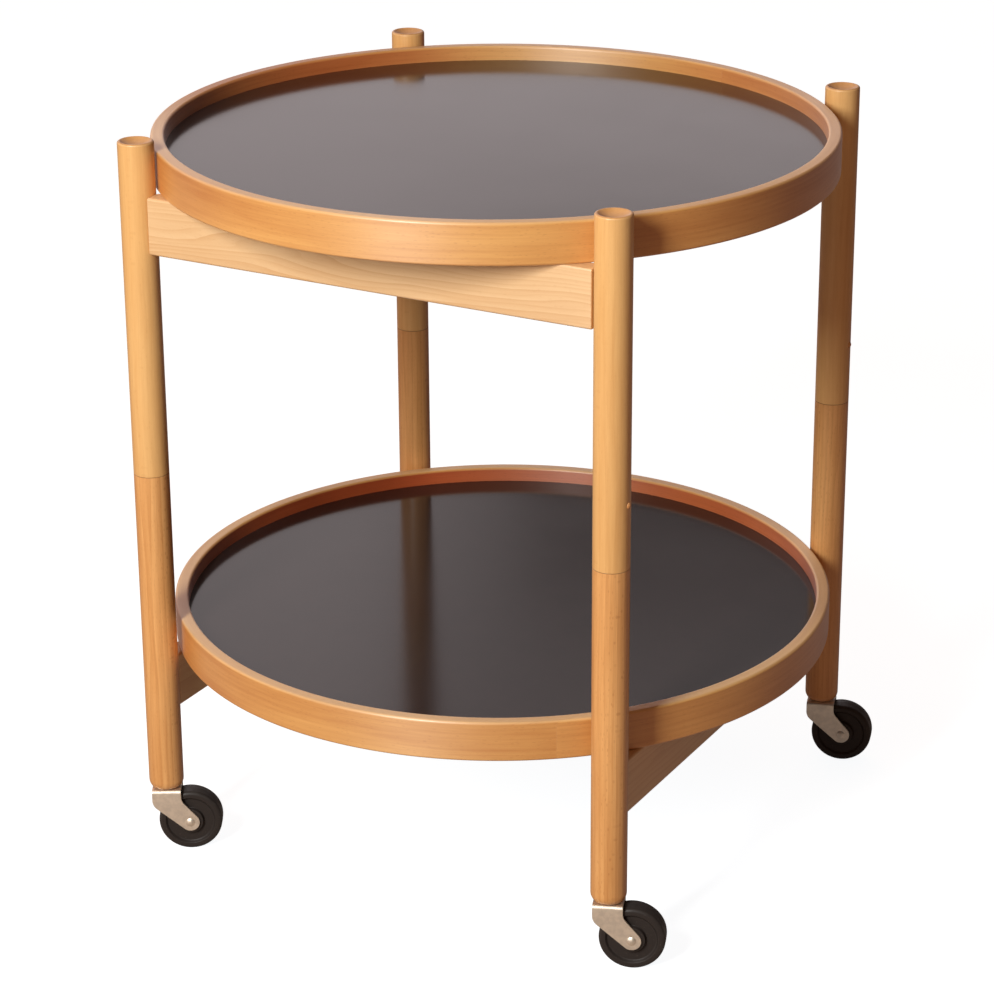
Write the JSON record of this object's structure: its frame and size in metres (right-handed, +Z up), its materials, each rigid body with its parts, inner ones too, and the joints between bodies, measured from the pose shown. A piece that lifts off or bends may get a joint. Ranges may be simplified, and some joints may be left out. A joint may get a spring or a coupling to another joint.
{
  "type": "folding tray table on casters",
  "caption": "Folding side table: a turned beech post frame on swivel casters carries two loose round trays with bent rims.",
  "frame": {"origin": "on the floor, midway between the four posts", "axes": "+Z up; +X along the two top rails, towards the right posts; +Y along the two bottom rails, towards the back posts"},
  "size_m": [0.5018, 0.5019, 0.5557],
  "materials": {
    "upper_beech": "oiled turned beech, satin",
    "lower_beech": "oiled turned beech, more orange, satin",
    "rail_beech": "oiled beech board with wavy grain, satin",
    "rim_beech": "bent beech, satin lacquer",
    "core_wood": "pressed board core",
    "dowel_wood": "fluted beech dowel, raw",
    "pin_wood": "beech pin with a domed head, oiled",
    "laminate": "near-black brown satin laminate",
    "nickel_steel": "nickel-plated pressed steel, satin",
    "wheel_black": "hard moulded wheel, semi-gloss"
  },
  "bodies": {
    "front_upper_frame": {"front_left_upper_leg": "upper_beech", "front_right_upper_leg": "upper_beech", "front_top_rail": "rail_beech", "front_rail_dowels": "dowel_wood", "front_retaining_pins": "pin_wood"},
    "back_upper_frame": {"back_right_upper_leg": "upper_beech", "back_left_upper_leg": "upper_beech", "back_top_rail": "rail_beech", "back_rail_dowels": "dowel_wood", "back_retaining_pins": "pin_wood"},
    "left_lower_frame": {"front_left_lower_leg": "lower_beech", "back_left_lower_leg": "lower_beech", "left_bottom_rail": "rail_beech", "left_rail_dowels": "dowel_wood", "front_left_caster_sleeve": "nickel_steel", "back_left_caster_sleeve": "nickel_steel"},
    "right_lower_frame": {"front_right_lower_leg": "lower_beech", "back_right_lower_leg": "lower_beech", "right_bottom_rail": "rail_beech", "right_rail_dowels": "dowel_wood", "front_right_caster_sleeve": "nickel_steel", "back_right_caster_sleeve": "nickel_steel"},
    "top_tray": {"top_tray_rim": "rim_beech", "top_tray_core": "core_wood", "top_tray_upper_laminate": "laminate", "top_tray_lower_laminate": "laminate"},
    "bottom_tray": {"bottom_tray_rim": "rim_beech", "bottom_tray_core": "core_wood", "bottom_tray_upper_laminate": "laminate", "bottom_tray_lower_laminate": "laminate"},
    "front_left_caster": {"front_left_caster_fork": "nickel_steel", "front_left_caster_stem": "nickel_steel", "front_left_stem_ring": "nickel_steel", "front_left_caster_axle": "nickel_steel"},
    "front_left_wheel": {"front_left_caster_wheel": "wheel_black"},
    "front_right_caster": {"front_right_caster_fork": "nickel_steel", "front_right_caster_stem": "nickel_steel", "front_right_stem_ring": "nickel_steel", "front_right_caster_axle": "nickel_steel"},
    "front_right_wheel": {"front_right_caster_wheel": "wheel_black"},
    "back_right_caster": {"back_right_caster_fork": "nickel_steel", "back_right_caster_stem": "nickel_steel", "back_right_stem_ring": "nickel_steel", "back_right_caster_axle": "nickel_steel"},
    "back_right_wheel": {"back_right_caster_wheel": "wheel_black"},
    "back_left_caster": {"back_left_caster_fork": "nickel_steel", "back_left_caster_stem": "nickel_steel", "back_left_stem_ring": "nickel_steel", "back_left_caster_axle": "nickel_steel"},
    "back_left_wheel": {"back_left_caster_wheel": "wheel_black"}
  },
  "joints": [
    {"name": "left_lower_frame_pivot", "type": "hinge", "parent": "front_upper_frame", "child": "left_lower_frame", "pos_m": [-0.18851, -0.18851, 0.3062], "axis": [0, 0, 1], "range_deg": [-0.6, 0.6]},
    {"name": "right_lower_frame_pivot", "type": "hinge", "parent": "front_upper_frame", "child": "right_lower_frame", "pos_m": [0.18851, -0.18851, 0.3062], "axis": [0, 0, 1], "range_deg": [-0.6, 0.6]},
    {"name": "back_upper_frame_pivot", "type": "hinge", "parent": "left_lower_frame", "child": "back_upper_frame", "pos_m": [-0.18851, 0.18851, 0.3062], "axis": [0, 0, 1], "range_deg": [-0.6, 0.6]},
    {"name": "top_tray_lift", "type": "slide", "parent": "front_upper_frame", "child": "top_tray", "axis": [0, 0, 1], "range_m": [0, 0.15]},
    {"name": "bottom_tray_lift", "type": "slide", "parent": "left_lower_frame", "child": "bottom_tray", "axis": [0, 0, 1], "range_m": [0, 0.288]},
    {"name": "front_left_caster_swivel", "type": "hinge", "parent": "left_lower_frame", "child": "front_left_caster", "pos_m": [-0.18851, -0.18851, 0.0522], "axis": [0, 0, 1], "continuous": true},
    {"name": "front_left_wheel_spin", "type": "hinge", "parent": "front_left_caster", "child": "front_left_wheel", "pos_m": [-0.17336, -0.17977, 0.024], "axis": [-0.5, 0.866, 0], "continuous": true},
    {"name": "front_right_caster_swivel", "type": "hinge", "parent": "right_lower_frame", "child": "front_right_caster", "pos_m": [0.18851, -0.18851, 0.0522], "axis": [0, 0, 1], "continuous": true},
    {"name": "front_right_wheel_spin", "type": "hinge", "parent": "front_right_caster", "child": "front_right_wheel", "pos_m": [0.20485, -0.18224, 0.024], "axis": [-0.3584, 0.9336, 0], "continuous": true},
    {"name": "back_right_caster_swivel", "type": "hinge", "parent": "right_lower_frame", "child": "back_right_caster", "pos_m": [0.18851, 0.18851, 0.0522], "axis": [0, 0, 1], "continuous": true},
    {"name": "back_right_wheel_spin", "type": "hinge", "parent": "back_right_caster", "child": "back_right_wheel", "pos_m": [0.20525, 0.19363, 0.024], "axis": [-0.2924, 0.9563, 0], "continuous": true},
    {"name": "back_left_caster_swivel", "type": "hinge", "parent": "left_lower_frame", "child": "back_left_caster", "pos_m": [-0.18851, 0.18851, 0.0522], "axis": [0, 0, 1], "continuous": true},
    {"name": "back_left_wheel_spin", "type": "hinge", "parent": "back_left_caster", "child": "back_left_wheel", "pos_m": [-0.17265, 0.19591, 0.024], "axis": [-0.4226, 0.9063, 0], "continuous": true}
  ],
  "couplings": [
    {"joint": "right_lower_frame_pivot", "follows": "left_lower_frame_pivot", "ratio": 1},
    {"joint": "back_upper_frame_pivot", "follows": "left_lower_frame_pivot", "ratio": -1}
  ]
}
